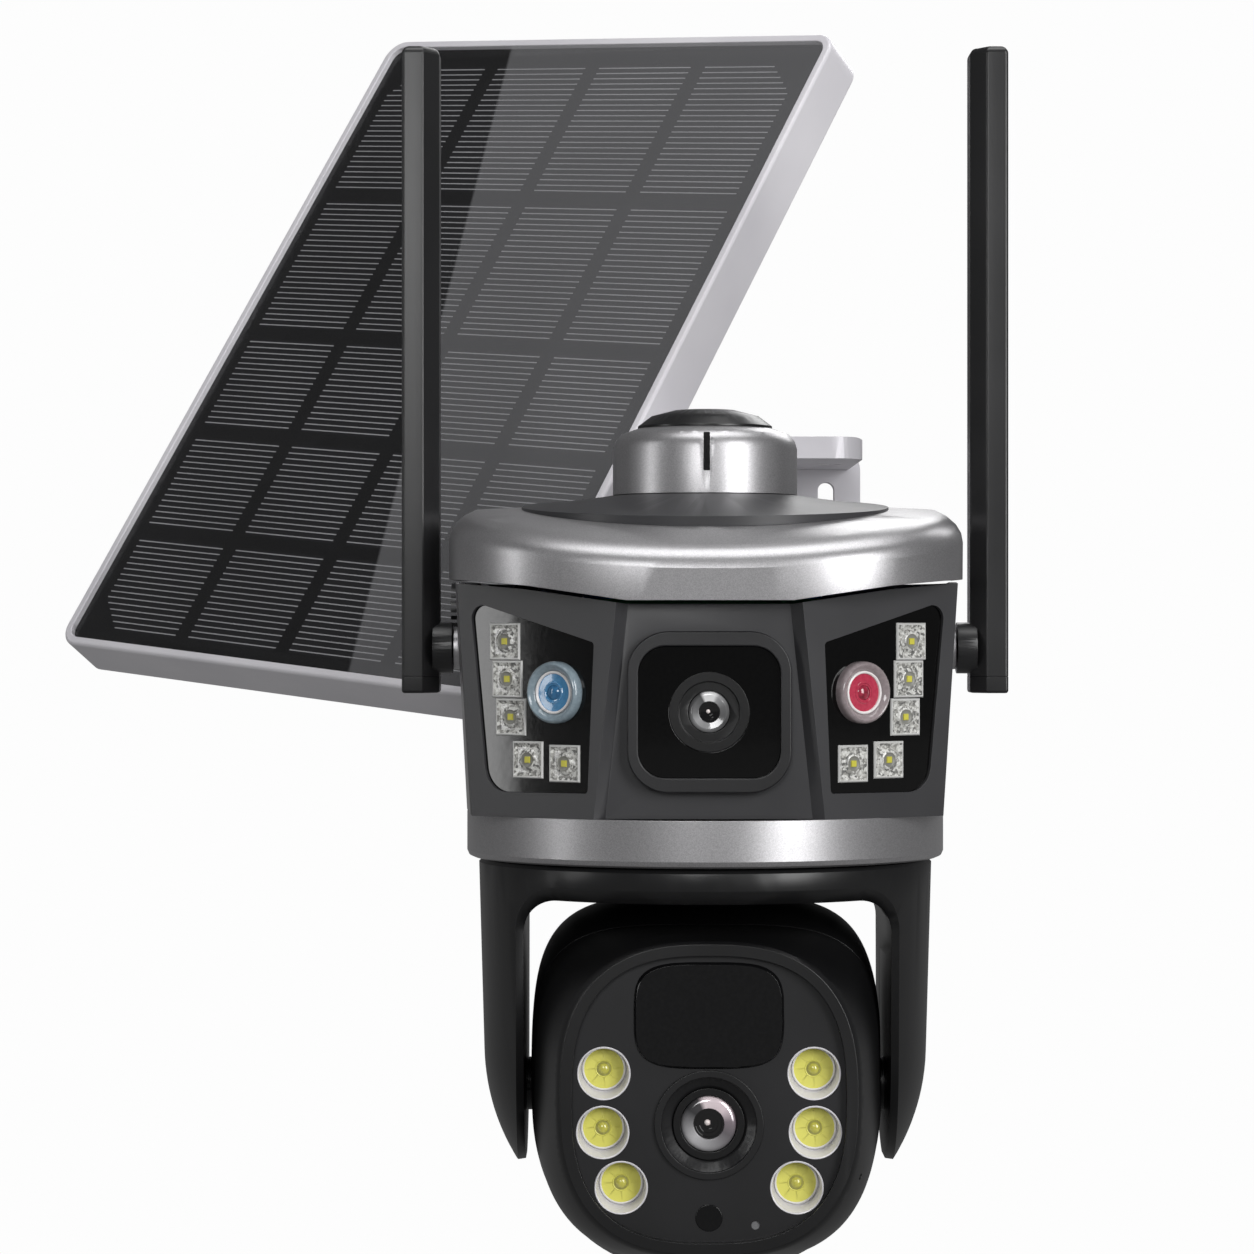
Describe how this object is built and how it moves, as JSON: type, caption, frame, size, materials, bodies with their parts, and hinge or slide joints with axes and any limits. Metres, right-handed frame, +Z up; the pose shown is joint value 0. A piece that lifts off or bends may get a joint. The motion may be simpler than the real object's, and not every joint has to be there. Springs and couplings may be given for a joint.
{
  "type": "security camera",
  "caption": "Solar security camera on a wall bracket: a head with a lens and side lights, folding antennas, and a pan and tilt ball below.",
  "frame": {"origin": "centre of the wall plate's back face, on the wall", "axes": "+X to the right seen from the front, +Y into the wall, +Z up"},
  "size_m": [0.3136, 0.3814, 0.4157],
  "materials": {
    "cast_plastic": "pale satin paint on a thick moulding",
    "silver_shell": "metallic paint with a fine sparkle",
    "black_trim": "fine matt",
    "charcoal": "matt moulded",
    "black_satin": "satin moulded",
    "white_plastic": "satin moulded",
    "gear_plastic": "moulded",
    "rubber_button": "matt",
    "steel": "zinc plated",
    "circuit_board": "solder mask",
    "cell_wrap": "shrink wrap",
    "smoked_glass": "polished",
    "lens_glass": "coated",
    "clear_lens": "moulded clear",
    "blue_lamp": "translucent",
    "red_lamp": "translucent",
    "phosphor": "silicone over phosphor",
    "solar_cells": "printed cells under clear sheet",
    "cover_glass": "polished"
  },
  "bodies": {
    "bracket": {"bracket": "cast_plastic", "collar_ring": "silver_shell", "collar_cap": "black_trim", "collar_screws": "steel"},
    "head": {"top_cover": "charcoal", "swivel_retainer": "black_trim", "visor": "silver_shell", "face_shell": "charcoal", "rear_shell": "silver_shell", "lens_bezel": "black_trim", "lens_window": "smoked_glass", "upper_lens_barrel": "black_trim", "upper_lens_glass": "lens_glass", "upper_sensor_board": "circuit_board", "left_window": "charcoal", "right_window": "charcoal", "side_led_lenses": "clear_lens", "left_warning_lamp": "blue_lamp", "right_warning_lamp": "red_lamp", "side_led_boards": "circuit_board", "lower_band": "silver_shell", "band_screws": "steel", "main_board": "circuit_board", "battery_cells": "cell_wrap", "speaker": "black_trim", "speaker_grille": "black_trim", "pan_motor": "steel", "charging_socket": "black_trim"},
    "power_button": {"power_button": "rubber_button"},
    "left_antenna": {"left_antenna": "black_trim", "left_antenna_cap": "black_trim"},
    "right_antenna": {"right_antenna": "black_trim", "right_antenna_cap": "black_trim"},
    "pan_pinion": {"pan_pinion": "gear_plastic"},
    "yoke": {"yoke_shell": "black_satin", "pan_gear": "gear_plastic", "axle_plates": "black_satin", "tilt_gear": "gear_plastic"},
    "ball": {"ball_rear_shell": "black_satin", "ball_front_shell": "black_satin", "face_plate": "black_satin", "motion_window": "smoked_glass", "lens_ring": "black_trim", "lower_lens_barrel": "black_trim", "lower_lens_glass": "lens_glass", "led_cups": "white_plastic", "led_emitters": "phosphor", "light_sensor": "clear_lens", "microphone": "black_trim", "ball_board": "circuit_board", "tilt_motor": "steel"},
    "tilt_pinion": {"tilt_pinion": "gear_plastic"},
    "panel_post": {"panel_post": "cast_plastic", "post_nut": "steel", "knuckle_bolt": "black_trim"},
    "panel_arm": {"panel_arm": "cast_plastic"},
    "panel": {"panel_frame": "white_plastic", "panel_laminate": "solar_cells", "panel_glass": "cover_glass", "junction_box": "black_trim"}
  },
  "joints": [
    {"name": "head_swivel", "type": "hinge", "parent": "bracket", "child": "head", "pos_m": [0, -0.309, 0.03], "axis": [0, 0, 1], "range_deg": [-15, 40]},
    {"name": "left_antenna_hinge", "type": "hinge", "parent": "head", "child": "left_antenna", "pos_m": [-0.08, -0.303, -0.019], "axis": [-1, 0, 0], "range_deg": [-90, 10]},
    {"name": "right_antenna_hinge", "type": "hinge", "parent": "head", "child": "right_antenna", "pos_m": [0.08, -0.303, -0.019], "axis": [-1, 0, 0], "range_deg": [-90, 10]},
    {"name": "yoke_pan", "type": "hinge", "parent": "head", "child": "yoke", "pos_m": [0, -0.309, -0.09], "axis": [0, 0, 1], "range_deg": [-177.5, 177.5]},
    {"name": "pan_pinion_spin", "type": "hinge", "parent": "head", "child": "pan_pinion", "pos_m": [0, -0.261, -0.08], "axis": [0, 0, 1], "range_deg": [-888, 888]},
    {"name": "ball_tilt", "type": "hinge", "parent": "yoke", "child": "ball", "pos_m": [0, -0.309, -0.1512], "axis": [1, 0, 0], "range_deg": [-8, 90]},
    {"name": "tilt_pinion_spin", "type": "hinge", "parent": "ball", "child": "tilt_pinion", "pos_m": [0.04, -0.2882, -0.1512], "axis": [1, 0, 0], "range_deg": [-18.5, 203]},
    {"name": "panel_swivel", "type": "hinge", "parent": "bracket", "child": "panel_post", "pos_m": [-0.051, -0.056, 0.055], "axis": [0, 0, 1], "range_deg": [-30, 0]},
    {"name": "panel_tilt", "type": "hinge", "parent": "panel_post", "child": "panel_arm", "pos_m": [-0.051, -0.056, 0.079], "axis": [0.9481, -0.3181, 0], "range_deg": [-4, 0]},
    {"name": "panel_spin", "type": "hinge", "parent": "panel_arm", "child": "panel", "pos_m": [-0.07183, -0.11808, 0.0691], "axis": [0.5117, 0.6621, -0.5476], "range_deg": [0, 15]},
    {"name": "button_press", "type": "slide", "parent": "head", "child": "power_button", "axis": [0, -1, 0], "range_m": [0, 0.0008], "stiffness_N_per_m": 1500, "springref_m": -0.0003}
  ],
  "couplings": [
    {"joint": "pan_pinion_spin", "follows": "yoke_pan", "ratio": -5},
    {"joint": "tilt_pinion_spin", "follows": "ball_tilt", "ratio": 2.25}
  ]
}
